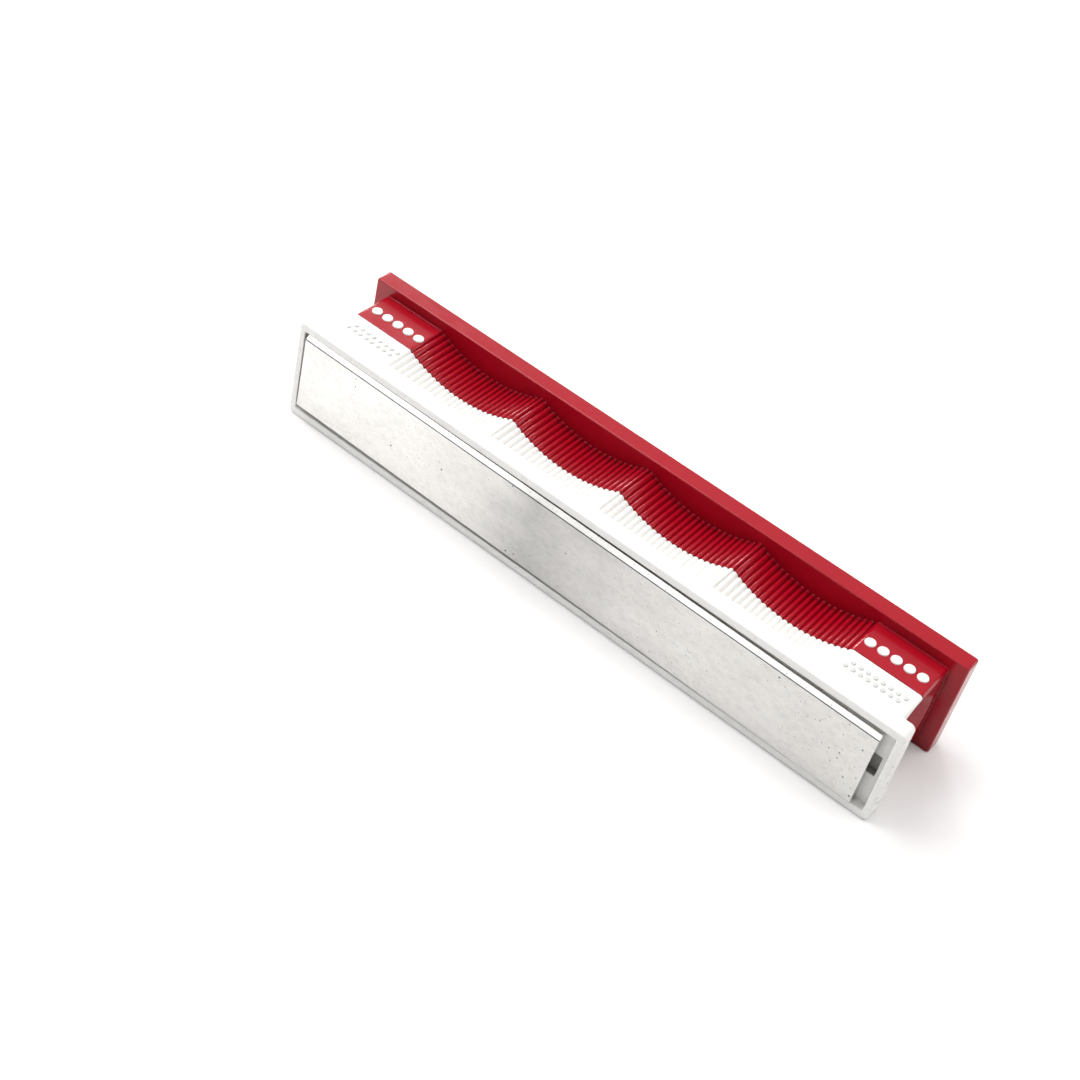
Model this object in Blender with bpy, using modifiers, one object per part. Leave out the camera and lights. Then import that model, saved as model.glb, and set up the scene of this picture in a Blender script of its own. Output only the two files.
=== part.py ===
"""Two-sided hand hone: a coarse half and a fine half, screwed together back to back, each carrying a
steel plate that magnets hold in a shallow recess. X runs along the tool, Y across it (the fine face
at -Y, the coarse face at +Y) and Z up; left is -X. The origin is the middle of the footprint, on the
surface that the tool stands on.

A function's side is +1 for the coarse half and -1 for the fine half."""

import math

import bmesh
import bpy
from mathutils import Matrix

MM = 0.001

# Overall form
LENGTH = 140.0 * MM  # along the flanges
WIDTH = 26.2 * MM  # across both flanges, without the plates
HEIGHT = 23.1 * MM
MID_Z = HEIGHT / 2
FLANGE = 3.75 * MM  # thickness of one flange
FLANGE_INNER = WIDTH / 2 - FLANGE  # distance from the joint plane
FLANGE_CORNER = 1.3 * MM
FLANGE_EDGE = 0.35 * MM
JOINT_GAP = 0.2 * MM  # between the halves

# Neck, the part between the flanges that the fingers hold
NECK_INSET = 3.2 * MM  # from the flange's end to the neck's end
NECK_HALF = LENGTH / 2 - NECK_INSET
NECK_DROP = 2.47 * MM  # from the flange's top to the neck's top
NECK_TOP = HEIGHT - NECK_DROP
NECK_CORNER = 0.6 * MM
SCALLOPS = 4
SCALLOP_PITCH = 26.1 * MM
SCALLOP_REACH = SCALLOPS * SCALLOP_PITCH / 2  # from the middle to the last scallop's end
SCALLOP_DEPTH = 3.8 * MM
RIBS_PER_SCALLOP = 22
RIB_HEIGHT = 0.34 * MM
RIB_CREST = 0.46  # share of the pitch that the rib's flat crest takes
WALL = 2.2 * MM
END_BLOCK = 8.0 * MM  # solid end of the neck, around the bore
CAVITY_STEPS = SCALLOPS * 12

# Countersunk bore in each end of the neck
BORE_RADIUS = 3.6 * MM
DISH_RADIUS = 8.0 * MM
DISH_DEPTH = DISH_RADIUS - BORE_RADIUS  # the dish slopes at 45 degrees
BORE_SEGMENTS = 48

# Recess and plate
END_RIM = 1.4 * MM
SIDE_RIM = 1.8 * MM
RECESS_HALF = LENGTH / 2 - END_RIM
RECESS_DEPTH = 1.7 * MM
RECESS_FLOOR = WIDTH / 2 - RECESS_DEPTH  # distance from the joint plane
PLATE_PROUD = 0.7 * MM
PLATE_LIFT_OFF_FLOOR = 0.1 * MM
PLATE_THICKNESS = RECESS_DEPTH + PLATE_PROUD - PLATE_LIFT_OFF_FLOOR
PLATE_WIDTH = 18.3 * MM
PLATE_EDGE = 1.0 * MM
FINE_PLATE_LENGTH = 133.9 * MM
FINE_PLATE_SHIFT = -0.75 * MM  # it lies a little to the left in its recess
FINE_PLATE_SKEW = math.radians(0.42)
COARSE_PLATE_LENGTH = 136.4 * MM

# Slots in the recess floor, where a blade goes in to lift the plate
PRY_SLOT_LENGTH = 5.0 * MM
PRY_SLOT_WIDTH = 2.6 * MM
PRY_SLOT_END = 1.1 * MM  # from the recess's end
PRY_SLOT_DEPTH = 1.4 * MM

# Magnets in the recess floor
MAGNET_RADIUS = 3.0 * MM
MAGNET_THICKNESS = 2.0 * MM
MAGNET_CHAMFER = 0.2 * MM
MAGNET_SINK = 0.1 * MM  # from the recess floor to the magnet's outer face
MAGNET_CLEARANCE = 0.15 * MM  # around the magnet
MAGNET_POCKET_EXTRA = 0.2 * MM  # pocket's depth beyond the magnet's thickness
MAGNET_BOSS = 4.4 * MM
MAGNET_BOSS_EXTRA = 1.6 * MM  # boss's depth beyond the magnet's thickness
MAGNET_XS = {"left": -1.5 * SCALLOP_PITCH, "centre": 0.0, "right": 1.5 * SCALLOP_PITCH}

# Screws, which go in through the coarse half under its plate
SCREW_XS = {
    "outer_left": -2 * SCALLOP_PITCH,
    "inner_left": -SCALLOP_PITCH,
    "inner_right": SCALLOP_PITCH,
    "outer_right": 2 * SCALLOP_PITCH,
}
SCREW_BOSS = 3.7 * MM
SCREW_HEAD_RADIUS = 2.6 * MM
SCREW_HEAD_HEIGHT = 1.7 * MM
SCREW_HEAD_ROUNDING = 0.8 * MM
SCREW_HEAD_STEPS = 4
SCREW_SHANK = 1.3 * MM
SCREW_LENGTH = 15.0 * MM  # under the head
SCREW_POINT_LENGTH = 2.0 * MM
SCREW_TIP_RADIUS = 0.25 * MM
SCREW_HOLE = 1.6 * MM
SCREW_COUNTERBORE = 2.9 * MM
COUNTERBORE_DEPTH = 2.1 * MM
SCREW_SEAT_GAP = 0.15 * MM  # from the counterbore's floor to the head
PILOT_END = 2.0 * MM  # material left past the pilot hole
CROSS_ARM = 1.6 * MM  # half the length of a slot of the cross
CROSS_HALF_WIDTH = 0.35 * MM
CROSS_DEPTH = 1.0 * MM

# Locating pegs on the coarse half, in sockets of the fine half
PEG_RADIUS = 1.1 * MM
PEG_LENGTH = 2.6 * MM
PEG_CLEARANCE = 0.3 * MM
PEG_SEGMENTS = 16
PEG_X = NECK_HALF - 4.0 * MM
PEG_Z = 6.4 * MM  # above and below the middle
PEG_PLACES = [(x, z) for x in (-PEG_X, PEG_X) for z in (MID_Z - PEG_Z, MID_Z + PEG_Z)]

# Grade marks: a few large pips for coarse, two rows of small ones for fine
COARSE_PIPS = 5
COARSE_PIP_RADIUS = 1.15 * MM
COARSE_PIP_PITCH = 2.75 * MM
FINE_PIPS = 8  # in one row
FINE_PIP_RADIUS = 0.5 * MM
FINE_PIP_PITCH = 1.55 * MM
FINE_PIP_ROW_PITCH = 1.5 * MM
PIP_HEIGHT = 0.3 * MM
PIP_TAPER = 0.86  # top radius as a share of the bottom radius
PIP_X = 59.0 * MM
PIP_Y = 3.7 * MM

# How far shapes run past a surface or into a body, so that the booleans never meet face to face
LONG_OVERRUN = 1.0 * MM
SHORT_OVERRUN = 0.5 * MM
FLANGE_OVERRUN = 0.6 * MM  # shapes behind the flange, into it

MERGE_DISTANCE = 1e-7
SHARP_ANGLE = math.radians(35)

RED = (0.52, 0.013, 0.035, 1.0)
WHITE = (0.86, 0.86, 0.84, 1.0)
STEEL = (0.66, 0.66, 0.65, 1.0)
NICKEL = (0.55, 0.54, 0.52, 1.0)
ZINC = (0.60, 0.61, 0.62, 1.0)


# Scene and objects


def clear_scene():
    for obj in list(bpy.data.objects):
        bpy.data.objects.remove(obj, do_unlink=True)


def make_collection(name, hidden=False):
    collection = bpy.data.collections.new(name)
    bpy.context.scene.collection.children.link(collection)
    collection.hide_render = hidden
    return collection


def make_material(name, color, roughness, metallic=0.0):
    material = bpy.data.materials.new(name)
    material.use_nodes = True
    shader = material.node_tree.nodes["Principled BSDF"]
    shader.inputs["Base Color"].default_value = color
    shader.inputs["Roughness"].default_value = roughness
    shader.inputs["Metallic"].default_value = metallic
    material.diffuse_color = color
    return material


def add_object(name, mesh, collection, material=None):
    obj = bpy.data.objects.new(name, mesh)
    collection.objects.link(obj)
    if material:
        mesh.materials.clear()
        mesh.materials.append(material)
    return obj


def add_helper(name, mesh, cutters):
    """An object that only serves other objects: a wire in the viewport, left out of renders."""
    obj = add_object(name, mesh, cutters)
    obj.hide_render = True
    obj.display_type = "WIRE"
    return obj


def add_empty(name, parts, parent=None):
    empty = bpy.data.objects.new(name, None)
    parts.objects.link(empty)
    empty.parent = parent
    return empty


def add_boolean(obj, cutter, operation):
    modifier = obj.modifiers.new(f"{operation.lower()}_{cutter.name}", "BOOLEAN")
    modifier.operation = operation
    modifier.object = cutter
    modifier.solver = "EXACT"


def as_mesh(name, shape):
    bmesh.ops.recalc_face_normals(shape, faces=shape.faces)
    mesh = bpy.data.meshes.new(name)
    shape.to_mesh(mesh)
    shape.free()
    return mesh


def evaluated_mesh(obj):
    bpy.context.view_layer.update()
    graph = bpy.context.evaluated_depsgraph_get()
    return bpy.data.meshes.new_from_object(obj.evaluated_get(graph))


def baked(name, guide):
    """The clean mesh of an unlinked guide object, in world coordinates; the guide is removed."""
    bpy.context.scene.collection.objects.link(guide)
    raw = evaluated_mesh(guide)
    raw.transform(guide.matrix_world)
    bpy.data.objects.remove(guide, do_unlink=True)
    shape = bmesh.new()
    shape.from_mesh(raw)
    bmesh.ops.remove_doubles(shape, verts=shape.verts, dist=MERGE_DISTANCE)
    bpy.data.meshes.remove(raw)
    return as_mesh(name, shape)


# Basic shapes


def add_box(shape, corner, opposite):
    """A box between two opposite corners, which may come in either order on any axis."""
    centre = [(a + b) / 2 for a, b in zip(corner, opposite)]
    size = [abs(b - a) for a, b in zip(corner, opposite)]
    matrix = Matrix.Translation(centre) @ Matrix.Diagonal((*size, 1.0))
    bmesh.ops.create_cube(shape, size=1.0, matrix=matrix)


def add_round(shape, axis, start, end, centre, radius, end_radius=None, segments=32):
    """A cylinder or a frustum along X or Y from start to end; centre gives the other two
    coordinates."""
    end_radius = radius if end_radius is None else end_radius
    middle = (start + end) / 2
    turn = Matrix.Rotation(math.pi / 2, 4, "Y" if axis == "X" else "X")
    if axis == "X":
        place = Matrix.Translation((middle, *centre))
        grows = 1
    else:
        place = Matrix.Translation((centre[0], middle, centre[1]))
        grows = -1  # turning +Z about +X by a quarter gives -Y
    forward = grows * (end - start) > 0
    first, second = (radius, end_radius) if forward else (end_radius, radius)
    bmesh.ops.create_cone(
        shape,
        cap_ends=True,
        segments=segments,
        radius1=first,
        radius2=second,
        depth=abs(end - start),
        matrix=place @ turn,
    )


def extruded(name, outlines, start, end):
    """A mesh from closed XZ outlines, the later ones being holes, that runs from start to end
    in Y."""
    curve = bpy.data.curves.new(name, "CURVE")
    curve.dimensions = "2D"
    curve.fill_mode = "BOTH"
    curve.extrude = abs(end - start) / 2
    for outline in outlines:
        spline = curve.splines.new("POLY")
        spline.points.add(len(outline) - 1)
        for point, (x, z) in zip(spline.points, outline):
            point.co = (x, z, 0.0, 1.0)
        spline.use_cyclic_u = True
    guide = bpy.data.objects.new(f"{name}_curve", curve)
    guide.rotation_euler = (math.pi / 2, 0.0, 0.0)
    guide.location = (0.0, (start + end) / 2, 0.0)
    return baked(name, guide)


def turned(name, profile, steps=20):
    """A body turned about Z from its (radius, height) profile, top to bottom."""
    line = bpy.data.meshes.new(name)
    vertices = [(radius, 0.0, height) for radius, height in profile]
    line.from_pydata(vertices, [(i, i + 1) for i in range(len(vertices) - 1)], [])
    guide = bpy.data.objects.new(name, line)
    turn = guide.modifiers.new("turn", "SCREW")
    turn.axis = "Z"
    turn.steps = steps
    turn.render_steps = steps
    turn.use_merge_vertices = True
    turn.merge_threshold = 1e-6
    return baked(name, guide)


# Outlines of the neck


def scallop_depth(x):
    """How far the neck's edge is below its flat end lands, at this distance along the tool."""
    if abs(x) >= SCALLOP_REACH:
        return 0.0
    half = SCALLOP_PITCH / 2
    radius = (half**2 + SCALLOP_DEPTH**2) / (2 * SCALLOP_DEPTH)
    from_centre = (x + SCALLOP_REACH) % SCALLOP_PITCH - half
    return math.sqrt(radius**2 - from_centre**2) - (radius - SCALLOP_DEPTH)


def ribbed_edge():
    """(x, z) along the neck's upper edge, from the left land to the right one, with the ribs."""
    pitch = SCALLOP_PITCH / RIBS_PER_SCALLOP
    points = []
    for rib in range(SCALLOPS * RIBS_PER_SCALLOP):
        left = -SCALLOP_REACH + rib * pitch
        points.append((left, NECK_TOP - scallop_depth(left)))
        for share in ((1 - RIB_CREST) / 2, (1 + RIB_CREST) / 2):
            x = left + share * pitch
            points.append((x, min(NECK_TOP, NECK_TOP - scallop_depth(x) + RIB_HEIGHT)))
    points.append((SCALLOP_REACH, NECK_TOP))
    return points


def rounded_corner(x, z, toward_x, toward_z, radius, steps=4):
    """Points round a corner of the neck's outline, from its end face to its edge."""
    centre_x, centre_z = x + toward_x * radius, z + toward_z * radius
    angles = [step / steps * math.pi / 2 for step in range(steps + 1)]
    return [
        (
            centre_x - toward_x * radius * math.cos(angle),
            centre_z - toward_z * radius * math.sin(angle),
        )
        for angle in angles
    ]


def without_straight_points(outline):
    """The closed outline without points on a straight run between their neighbours."""
    kept = []
    for index, (x, z) in enumerate(outline):
        before_x, before_z = outline[index - 1]
        after_x, after_z = outline[(index + 1) % len(outline)]
        turn = (x - before_x) * (after_z - z) - (z - before_z) * (after_x - x)
        if abs(turn) > 1e-12:
            kept.append((x, z))
    return kept


def closed_by_mirror(top):
    """The closed outline of an upper edge and its mirror image below the middle height."""
    return without_straight_points(top + [(x, HEIGHT - z) for x, z in reversed(top)])


def neck_outline():
    """The neck's outline seen from the side."""
    return closed_by_mirror(
        rounded_corner(-NECK_HALF, NECK_TOP, 1, -1, NECK_CORNER)
        + ribbed_edge()
        + rounded_corner(NECK_HALF, NECK_TOP, -1, -1, NECK_CORNER)[::-1]
    )


def cavity_outline():
    """The hollow inside the neck, one wall inside the scallops."""
    end = NECK_HALF - END_BLOCK
    xs = [-end + 2 * end * step / CAVITY_STEPS for step in range(CAVITY_STEPS + 1)]
    return closed_by_mirror([(x, NECK_TOP - WALL - scallop_depth(x)) for x in xs])


# Shapes that are joined to a half or cut from it


def flange_shape(side):
    shape = bmesh.new()
    add_box(
        shape,
        (-LENGTH / 2, side * FLANGE_INNER, 0.0),
        (LENGTH / 2, side * WIDTH / 2, HEIGHT),
    )
    corners = [
        edge for edge in shape.edges
        if abs(edge.verts[0].co.y - edge.verts[1].co.y) > FLANGE / 2
    ]
    bmesh.ops.bevel(
        shape, geom=corners, offset=FLANGE_CORNER, segments=4, profile=0.5, affect="EDGES"
    )
    return shape


def bosses_shape(side):
    """Bosses behind the flange, around the screws and the magnets."""
    sunk = side * (FLANGE_INNER + FLANGE_OVERRUN)
    magnet_start = side * (RECESS_FLOOR - MAGNET_THICKNESS - MAGNET_BOSS_EXTRA)
    shape = bmesh.new()
    for x in SCREW_XS.values():
        add_round(shape, "Y", side * JOINT_GAP / 2, sunk, (x, MID_Z), SCREW_BOSS)
    for x in MAGNET_XS.values():
        add_round(shape, "Y", magnet_start, sunk, (x, MID_Z), MAGNET_BOSS)
    return shape


def recess_and_dishes_shape(side):
    """The plate's recess, and the dish in each end of the neck."""
    shape = bmesh.new()
    add_box(
        shape,
        (-RECESS_HALF, side * RECESS_FLOOR, SIDE_RIM),
        (RECESS_HALF, side * (WIDTH / 2 + LONG_OVERRUN), HEIGHT - SIDE_RIM),
    )
    for end in (-1, 1):
        add_round(
            shape,
            "X",
            end * (NECK_HALF - DISH_DEPTH - LONG_OVERRUN),
            end * (NECK_HALF + LONG_OVERRUN),
            (0.0, MID_Z),
            BORE_RADIUS - LONG_OVERRUN,
            DISH_RADIUS + LONG_OVERRUN,
            segments=BORE_SEGMENTS,
        )
    return shape


def pockets_shape(side):
    """Magnet pockets, pry slots and bores, and the coarse half's counterbores."""
    floor = side * RECESS_FLOOR
    above = floor + side * SHORT_OVERRUN
    shape = bmesh.new()
    for x in MAGNET_XS.values():
        bottom = floor - side * (MAGNET_THICKNESS + MAGNET_POCKET_EXTRA)
        add_round(shape, "Y", bottom, above, (x, MID_Z), MAGNET_RADIUS + MAGNET_CLEARANCE)
    for end in (-1, 1):
        slot_x = end * (RECESS_HALF - PRY_SLOT_END)
        add_box(
            shape,
            (slot_x, floor - side * PRY_SLOT_DEPTH, MID_Z - PRY_SLOT_LENGTH / 2),
            (slot_x - end * PRY_SLOT_WIDTH, above, MID_Z + PRY_SLOT_LENGTH / 2),
        )
        # The bore stops inside the hollow.
        add_round(
            shape,
            "X",
            end * (NECK_HALF - END_BLOCK - LONG_OVERRUN),
            end * (NECK_HALF - DISH_DEPTH + SHORT_OVERRUN),
            (0.0, MID_Z),
            BORE_RADIUS,
            segments=BORE_SEGMENTS,
        )
    if side > 0:
        bottom = floor - side * COUNTERBORE_DEPTH
        for x in SCREW_XS.values():
            add_round(shape, "Y", bottom, above, (x, MID_Z), SCREW_COUNTERBORE)
    return shape


def add_peg_rounds(shape, length, radius):
    """Rounds at the pegs' places, from inside the coarse half to this length past the joint
    plane."""
    for place in PEG_PLACES:
        add_round(shape, "Y", LONG_OVERRUN, -length, place, radius, segments=PEG_SEGMENTS)


def screw_holes_shape(side):
    """Screw holes, open into the coarse counterbores and blind in the fine half, which also
    gets the peg sockets."""
    start = side * JOINT_GAP / 2 - side * LONG_OVERRUN
    below_floor = COUNTERBORE_DEPTH - SHORT_OVERRUN if side > 0 else PILOT_END
    far = side * (RECESS_FLOOR - below_floor)
    shape = bmesh.new()
    for x in SCREW_XS.values():
        add_round(shape, "Y", start, far, (x, MID_Z), SCREW_HOLE, segments=24)
    if side < 0:
        add_peg_rounds(shape, PEG_LENGTH + PEG_CLEARANCE, PEG_RADIUS + PEG_CLEARANCE)
    return shape


def coarse_pip_places():
    """Centres of the coarse marks, one row at each end."""
    for end in (-1, 1):
        for index in range(COARSE_PIPS):
            yield end * PIP_X + (index - (COARSE_PIPS - 1) / 2) * COARSE_PIP_PITCH, PIP_Y


def fine_pip_places():
    """Centres of the fine marks: two staggered rows at each end."""
    for end in (-1, 1):
        for row in (-0.5, 0.5):
            for index in range(FINE_PIPS):
                x = (index - (FINE_PIPS - 1) / 2 + row / 2) * FINE_PIP_PITCH
                yield end * PIP_X + x, -PIP_Y + row * FINE_PIP_ROW_PITCH


def pips_and_pegs_shape(side):
    """Grade marks on the neck's top, and the coarse half's pegs."""
    if side > 0:
        places, radius, segments = coarse_pip_places(), COARSE_PIP_RADIUS, 16
    else:
        places, radius, segments = fine_pip_places(), FINE_PIP_RADIUS, 8
    shape = bmesh.new()
    for x, y in places:
        # Half of each pip is sunk in the neck.
        bmesh.ops.create_cone(
            shape,
            cap_ends=True,
            segments=segments,
            radius1=radius,
            radius2=radius * PIP_TAPER,
            depth=PIP_HEIGHT * 2,
            matrix=Matrix.Translation((x, y, NECK_TOP)),
        )
    if side > 0:
        add_peg_rounds(shape, PEG_LENGTH, PEG_RADIUS)
    return shape


# Pieces


def round_edges(half):
    modifier = half.modifiers.new("edge_rounding", "BEVEL")
    modifier.width = FLANGE_EDGE
    modifier.segments = 2
    modifier.limit_method = "ANGLE"
    modifier.angle_limit = math.radians(60)
    modifier.use_clamp_overlap = True


def build_half(name, side, material, parts, cutters, frame):
    """One moulding: a flange, to which the rest is joined and from which it is cut in order."""
    half = add_object(name, as_mesh(name, flange_shape(side)), parts, material)
    half.parent = frame
    round_edges(half)

    neck_name = f"{name}_neck"
    neck = extruded(
        neck_name,
        [neck_outline(), cavity_outline()],
        side * JOINT_GAP / 2,
        side * (FLANGE_INNER + FLANGE_OVERRUN),
    )
    add_boolean(half, add_helper(neck_name, neck, cutters), "UNION")

    for suffix, make_shape, operation in (
        ("bosses", bosses_shape, "UNION"),
        ("recess_and_dishes", recess_and_dishes_shape, "DIFFERENCE"),
        ("pockets", pockets_shape, "DIFFERENCE"),
        ("screw_holes", screw_holes_shape, "DIFFERENCE"),
        ("pips_and_pegs", pips_and_pegs_shape, "UNION"),
    ):
        cutter_name = f"{name}_{suffix}"
        cutter = add_helper(cutter_name, as_mesh(cutter_name, make_shape(side)), cutters)
        add_boolean(half, cutter, operation)


def build_plate(name, side, length, material, parts, lift_axis, shift=0.0, skew=0.0):
    """A steel plate with its origin on its outer face. Its outer long edges are rounded."""
    shape = bmesh.new()
    add_box(
        shape,
        (-length / 2, 0.0, -PLATE_WIDTH / 2),
        (length / 2, -side * PLATE_THICKNESS, PLATE_WIDTH / 2),
    )
    outer_edges = [
        edge for edge in shape.edges
        if all(abs(vert.co.y) < 1e-6 for vert in edge.verts)
        and abs(edge.verts[0].co.x - edge.verts[1].co.x) > length / 2
    ]
    bmesh.ops.bevel(
        shape, geom=outer_edges, offset=PLATE_EDGE, segments=6, profile=0.5, affect="EDGES"
    )
    plate = add_object(name, as_mesh(name, shape), parts, material)
    plate.parent = lift_axis
    plate.location = (shift, side * (WIDTH / 2 + PLATE_PROUD), MID_Z)
    plate.rotation_euler = (0.0, skew, 0.0)


def build_magnets(grade, side, material, parts, frame):
    """Three discs that share one mesh, each with its origin on its outer face."""
    shape = bmesh.new()
    add_round(
        shape, "Y", 0.0, -side * MAGNET_THICKNESS, (0.0, 0.0), MAGNET_RADIUS, segments=28
    )
    rims = [
        edge for edge in shape.edges
        if abs(edge.verts[0].co.y - edge.verts[1].co.y) < 1e-7
    ]
    bmesh.ops.bevel(shape, geom=rims, offset=MAGNET_CHAMFER, segments=1, affect="EDGES")
    mesh = as_mesh(f"{grade}_magnet", shape)
    for place, x in MAGNET_XS.items():
        magnet = add_object(f"{grade}_magnet_{place}", mesh, parts, material)
        magnet.parent = frame
        magnet.location = (x, side * (RECESS_FLOOR - MAGNET_SINK), MID_Z)


def screw_profile():
    """Pan head, plain shank and point; the head's top is at zero and the point is down."""
    profile = [(0.0, 0.0)]
    for step in range(SCREW_HEAD_STEPS + 1):
        angle = step / SCREW_HEAD_STEPS * math.pi / 2
        radius = SCREW_HEAD_RADIUS - SCREW_HEAD_ROUNDING + SCREW_HEAD_ROUNDING * math.sin(angle)
        height = -SCREW_HEAD_ROUNDING + SCREW_HEAD_ROUNDING * math.cos(angle)
        profile.append((radius, height))
    tip = SCREW_HEAD_HEIGHT + SCREW_LENGTH
    return profile + [
        (SCREW_HEAD_RADIUS, -SCREW_HEAD_HEIGHT),
        (SCREW_SHANK, -SCREW_HEAD_HEIGHT),
        (SCREW_SHANK, -(tip - SCREW_POINT_LENGTH)),
        (SCREW_TIP_RADIUS, -tip),
        (0.0, -tip),
    ]


def screw_mesh(cutters):
    """The turned blank with a cross cut in its head."""
    blank = add_helper("screw_blank", turned("screw_blank", screw_profile()), cutters)
    for name, half_x, half_y in (
        ("cross_slot_x", CROSS_ARM, CROSS_HALF_WIDTH),
        ("cross_slot_y", CROSS_HALF_WIDTH, CROSS_ARM),
    ):
        shape = bmesh.new()
        add_box(shape, (-half_x, -half_y, -CROSS_DEPTH), (half_x, half_y, SHORT_OVERRUN))
        add_boolean(blank, add_helper(name, as_mesh(name, shape), cutters), "DIFFERENCE")
    mesh = evaluated_mesh(blank)
    mesh.name = "joining_screw"
    return mesh


def build_screws(material, parts, cutters, frame):
    mesh = screw_mesh(cutters)
    seat = RECESS_FLOOR - COUNTERBORE_DEPTH + SCREW_SEAT_GAP
    for place, x in SCREW_XS.items():
        screw = add_object(f"screw_{place}", mesh, parts, material)
        screw.parent = frame
        screw.rotation_euler = (-math.pi / 2, 0.0, 0.0)  # the head faces +Y
        screw.location = (x, seat + SCREW_HEAD_HEIGHT, MID_Z)


def shade_parts(parts):
    for obj in parts.objects:
        if obj.type == "MESH":
            obj.data.shade_smooth()
            obj.data.set_sharp_from_angle(angle=SHARP_ANGLE)


def main():
    clear_scene()
    parts = make_collection("two_sided_hand_hone")
    cutters = make_collection("cutters", hidden=True)

    frame = add_empty("hone_frame", parts)
    fine_lift = add_empty("fine_plate_lift_axis", parts, frame)
    coarse_lift = add_empty("coarse_plate_lift_axis", parts, frame)

    red = make_material("red_moulding", RED, roughness=0.3)
    white = make_material("white_moulding", WHITE, roughness=0.35)
    fine_steel = make_material("fine_plate_steel", STEEL, roughness=0.32, metallic=1.0)
    coarse_steel = make_material("coarse_plate_steel", STEEL, roughness=0.34, metallic=1.0)
    nickel = make_material("magnet_nickel", NICKEL, roughness=0.25, metallic=1.0)
    zinc = make_material("screw_zinc", ZINC, roughness=0.35, metallic=1.0)

    build_half("coarse_grip_half", 1, red, parts, cutters, frame)
    build_half("fine_grip_half", -1, white, parts, cutters, frame)
    build_plate(
        "fine_plate", -1, FINE_PLATE_LENGTH, fine_steel, parts, fine_lift,
        shift=FINE_PLATE_SHIFT, skew=FINE_PLATE_SKEW,
    )
    build_plate("coarse_plate", 1, COARSE_PLATE_LENGTH, coarse_steel, parts, coarse_lift)
    build_magnets("fine", -1, nickel, parts, frame)
    build_magnets("coarse", 1, nickel, parts, frame)
    build_screws(zinc, parts, cutters, frame)

    shade_parts(parts)
    bpy.context.view_layer.update()


main()
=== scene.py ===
"""Looks of a two-sided hand hone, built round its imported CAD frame.

The tool lies along X with +Z up. The joint plane between its two mouldings is y = 0: the red
coarse half is on +Y (side 1) and the white fine half on -Y (side -1). Metres.
"""

import math

import bmesh
import bpy
import numpy as np
from mathutils import Matrix, Vector


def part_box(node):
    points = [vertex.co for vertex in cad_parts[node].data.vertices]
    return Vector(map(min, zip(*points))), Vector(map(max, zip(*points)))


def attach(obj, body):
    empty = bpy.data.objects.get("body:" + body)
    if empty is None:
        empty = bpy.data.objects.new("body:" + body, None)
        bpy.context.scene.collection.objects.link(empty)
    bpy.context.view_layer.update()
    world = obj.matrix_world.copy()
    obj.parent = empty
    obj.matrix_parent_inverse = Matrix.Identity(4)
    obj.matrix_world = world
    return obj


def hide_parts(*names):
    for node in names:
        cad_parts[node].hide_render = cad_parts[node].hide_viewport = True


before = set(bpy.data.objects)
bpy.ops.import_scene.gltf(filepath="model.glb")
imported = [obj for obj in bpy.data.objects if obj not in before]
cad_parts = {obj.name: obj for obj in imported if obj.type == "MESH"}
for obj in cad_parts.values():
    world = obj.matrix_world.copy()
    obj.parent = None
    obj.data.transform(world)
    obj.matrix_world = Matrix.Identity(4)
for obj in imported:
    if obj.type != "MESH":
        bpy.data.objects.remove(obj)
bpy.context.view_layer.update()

MM = 0.001

# Sizes read from the frame
coarse_low, coarse_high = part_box("coarse_grip_half")
LENGTH = coarse_high.x - coarse_low.x
HEIGHT = coarse_high.z - coarse_low.z
MID_X = (coarse_high.x + coarse_low.x) / 2
MID_Z = (coarse_high.z + coarse_low.z) / 2
OUTER = coarse_high.y  # flange face, from the joint plane
plate_low, plate_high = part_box("coarse_plate")
PLATE_LENGTH = plate_high.x - plate_low.x
PLATE_WIDTH = plate_high.z - plate_low.z
SCREWS = [name for name in sorted(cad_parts) if name.startswith("screw_")]
MAGNETS = [name for name in sorted(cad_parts) if "_magnet_" in name]

# Flanges and the plate recesses in them
FLANGE = 3.75 * MM
INNER = OUTER - FLANGE
CORNERS = {1: 0.55 * MM, -1: 1.15 * MM}  # corner radius by side
EDGE = 0.30 * MM  # rounding of the flange's edges
END_RIM = 1.4 * MM
SIDE_RIM = 1.8 * MM
RECESS_DEPTH = 1.7 * MM
RECESS_CORNER = 0.4 * MM
FLOOR = OUTER - RECESS_DEPTH

# Neck between the flanges, with ribbed scallops above and below
JOINT = 0.05 * MM  # half the gap at the joint line
NECK_HALF = LENGTH / 2 - 3.2 * MM
NECK_Z = HEIGHT / 2 - 2.47 * MM  # half the neck's height
NECK_CORNER = 0.65 * MM
SCALLOPS = 4
PITCH = 26.1 * MM
DEPTH = 3.8 * MM
RIBS = 22  # to each scallop
RIB_PITCH = PITCH / RIBS
RIB_HEIGHT = 0.44 * MM
REACH = SCALLOPS * PITCH / 2

# Hollow and holes
WALL = 2.2 * MM
END_BLOCK = 8.0 * MM  # solid length at each end of the neck
BORE = 3.6 * MM  # radius of the end bore
DISH = 8.0 * MM  # radius of its cone at the end face
SCREW_HOLE = 1.6 * MM
SLOT_HALF_X = 1.3 * MM
SLOT_HALF_Z = 2.5 * MM
SLOT_X = LENGTH / 2 - END_RIM - 1.1 * MM - SLOT_HALF_X  # lifting slots' distance from the middle

# Raised marks on top of the neck
MARK_X = 59.0 * MM
MARK_Y = 3.7 * MM
MARK_HEIGHT = 0.27 * MM


# ---------------------------------------------------------------- mesh helpers


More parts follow.
